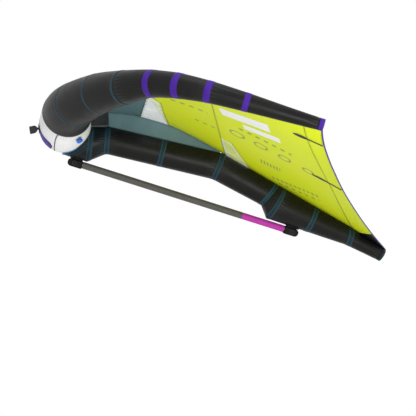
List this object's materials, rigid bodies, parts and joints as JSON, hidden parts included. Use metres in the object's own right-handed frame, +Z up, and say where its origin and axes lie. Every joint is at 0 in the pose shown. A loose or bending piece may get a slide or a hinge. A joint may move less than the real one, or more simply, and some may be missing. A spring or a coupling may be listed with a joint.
{
  "type": "wingfoil wing",
  "caption": "Inflatable hand-held wing with a tubular leading edge, a centre strut, a cloth canopy with film windows and a straight clip-on boom.",
  "frame": {"origin": "middle of the boom's grips on the boom's own axis, where the hands hold the wing", "axes": "+X along the span to port, +Y aft along the boom, +Z up from the boom to the canopy"},
  "size_m": [2.0494, 1.8227, 0.5548],
  "materials": {
    "black_sleeve": "matte",
    "white_sleeve": "matte",
    "purple_tape": "matte",
    "lime_canopy": "satin",
    "slate_canopy": "satin",
    "window_film": "satin",
    "edge_tape": "matte",
    "batten": "satin",
    "bladder_film": "satin",
    "boom_alloy": "satin",
    "grey_grip": "matte",
    "magenta_grip": "matte",
    "moulded_black": "satin",
    "steel": "satin",
    "webbing": "matte",
    "valve_grey": "satin",
    "valve_blue": "satin"
  },
  "bodies": {
    "boom": {"boom_tube": "boom_alloy", "boom_front_grip": "grey_grip", "boom_rear_grip": "magenta_grip", "boom_front_fitting": "moulded_black", "boom_rear_fitting": "moulded_black", "front_button_spring": "steel", "rear_button_spring": "steel"},
    "wing": {"leading_edge_centre_sleeve": "white_sleeve", "leading_edge_port_sleeve_1": "black_sleeve", "leading_edge_port_sleeve_2": "black_sleeve", "leading_edge_port_sleeve_3": "black_sleeve", "leading_edge_port_sleeve_4": "black_sleeve", "leading_edge_starboard_sleeve_1": "black_sleeve", "leading_edge_starboard_sleeve_2": "black_sleeve", "leading_edge_starboard_sleeve_3": "black_sleeve", "leading_edge_starboard_sleeve_4": "black_sleeve", "port_tip_cap": "purple_tape", "starboard_tip_cap": "purple_tape", "leading_edge_bladder": "bladder_film", "strut_nose_sleeve": "black_sleeve", "strut_front_sleeve": "black_sleeve", "strut_middle_sleeve": "black_sleeve", "strut_rear_sleeve": "black_sleeve", "strut_tail_sleeve": "black_sleeve", "strut_tail_cap": "moulded_black", "strut_bladder": "bladder_film", "inflation_hose": "bladder_film", "port_front_panel": "slate_canopy", "starboard_front_panel": "slate_canopy", "port_front_window": "window_film", "starboard_front_window": "window_film", "port_forward_panel": "lime_canopy", "starboard_forward_panel": "lime_canopy", "port_rear_panel": "lime_canopy", "starboard_rear_panel": "lime_canopy", "port_rear_window": "window_film", "starboard_rear_window": "window_film", "port_trailing_strip": "lime_canopy", "starboard_trailing_strip": "lime_canopy", "port_trailing_tape": "edge_tape", "starboard_trailing_tape": "edge_tape", "port_batten_1": "batten", "port_batten_2": "batten", "starboard_batten_1": "batten", "starboard_batten_2": "batten", "centre_web": "slate_canopy", "web_patch": "black_sleeve", "front_clip_base": "moulded_black", "rear_clip_base": "moulded_black", "handle_patch": "purple_tape", "port_handle_anchor": "webbing", "starboard_handle_anchor": "webbing", "valve_flange": "valve_grey"},
    "front_button": {"front_release_button": "moulded_black"},
    "rear_button": {"rear_release_button": "moulded_black"},
    "front_handle": {"front_handle_strap": "webbing", "front_handle_grip": "grey_grip"},
    "valve": {"valve_body": "valve_grey"},
    "cap": {"valve_cap": "valve_blue"}
  },
  "joints": [
    {"name": "boom_release", "type": "slide", "parent": "boom", "child": "wing", "axis": [0, 0, 1], "range_m": [0, 0.04]},
    {"name": "front_button_press", "type": "slide", "parent": "boom", "child": "front_button", "axis": [-1, 0, 0], "range_m": [0, 0.003], "stiffness_N_per_m": 500, "deforming": ["front_button_spring"]},
    {"name": "rear_button_press", "type": "slide", "parent": "boom", "child": "rear_button", "axis": [-1, 0, 0], "range_m": [0, 0.003], "stiffness_N_per_m": 500, "deforming": ["rear_button_spring"]},
    {"name": "front_handle_swing", "type": "hinge", "parent": "wing", "child": "front_handle", "pos_m": [0, -0.75876, 0.1005], "axis": [1, 0, 0], "range_deg": [-30, 30], "stiffness_Nm_per_rad": 0.05},
    {"name": "valve_turn", "type": "hinge", "parent": "wing", "child": "valve", "pos_m": [0.15655, -0.5643, 0.11923], "axis": [0.4167, 0.6974, -0.5831], "range_deg": [0, 60]},
    {"name": "valve_cap_hinge", "type": "hinge", "parent": "valve", "child": "cap", "pos_m": [0.17504, -0.55662, 0.12277], "axis": [0.4067, -0.7167, -0.5666], "range_deg": [0, 110]}
  ]
}
